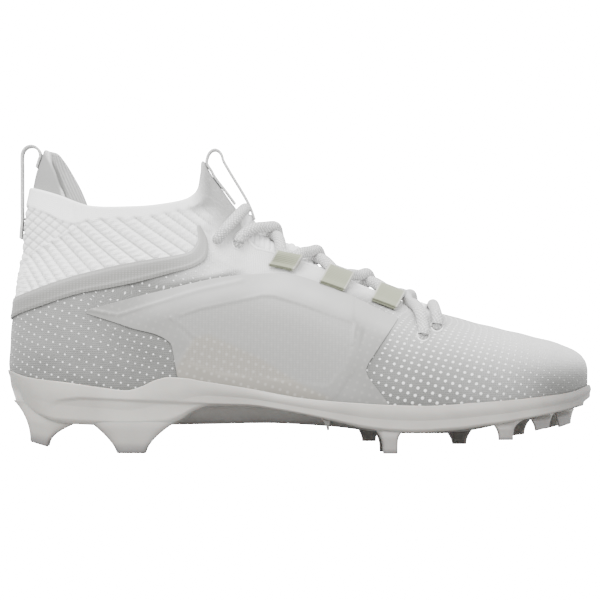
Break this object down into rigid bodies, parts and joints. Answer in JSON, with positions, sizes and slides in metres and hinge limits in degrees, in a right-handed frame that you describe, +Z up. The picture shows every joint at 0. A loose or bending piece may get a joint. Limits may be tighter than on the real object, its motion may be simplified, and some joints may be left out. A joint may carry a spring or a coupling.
{
  "type": "football cleat",
  "caption": "Right-foot football cleat with a mid-high knit bootie upper, a clear film over each side, tape lace loops, pull loops and a moulded plate with studs.",
  "frame": {"origin": "on the floor under the middle of the shoe's box", "axes": "+X to the toe, +Y to the inner side of the right foot, +Z up"},
  "size_m": [0.2939, 0.104, 0.1542],
  "materials": {
    "plate": "satin moulded, light warm grey",
    "insole": "matt cloth on foam",
    "knit": "matt knit and fine mesh",
    "tongue": "matt ribbed knit",
    "lining": "matt twill",
    "film": "frosted film",
    "webbing": "woven tape",
    "lace": "matt braided cord",
    "pull_tape": "woven tape"
  },
  "bodies": {
    "root": {"outsole": "plate", "insole": "insole", "upper": "knit", "tongue": "tongue", "heel_lining": "lining", "collar_band": "film", "side_film_outer": "film", "side_film_inner": "film", "lace_loop_outer_1": "webbing", "lace_loop_outer_2": "webbing", "lace_loop_outer_3": "webbing", "lace_loop_inner_1": "webbing", "lace_loop_inner_2": "webbing", "lace_loop_inner_3": "webbing", "lace_crossing_1": "lace", "lace_crossing_2": "lace", "lace_crossing_3": "lace", "lace_crossing_4": "lace", "lace_bar_top": "lace", "lace_bar_toe": "lace", "tongue_pull_loop": "pull_tape", "heel_pull_loop": "pull_tape"}
  },
  "joints": []
}
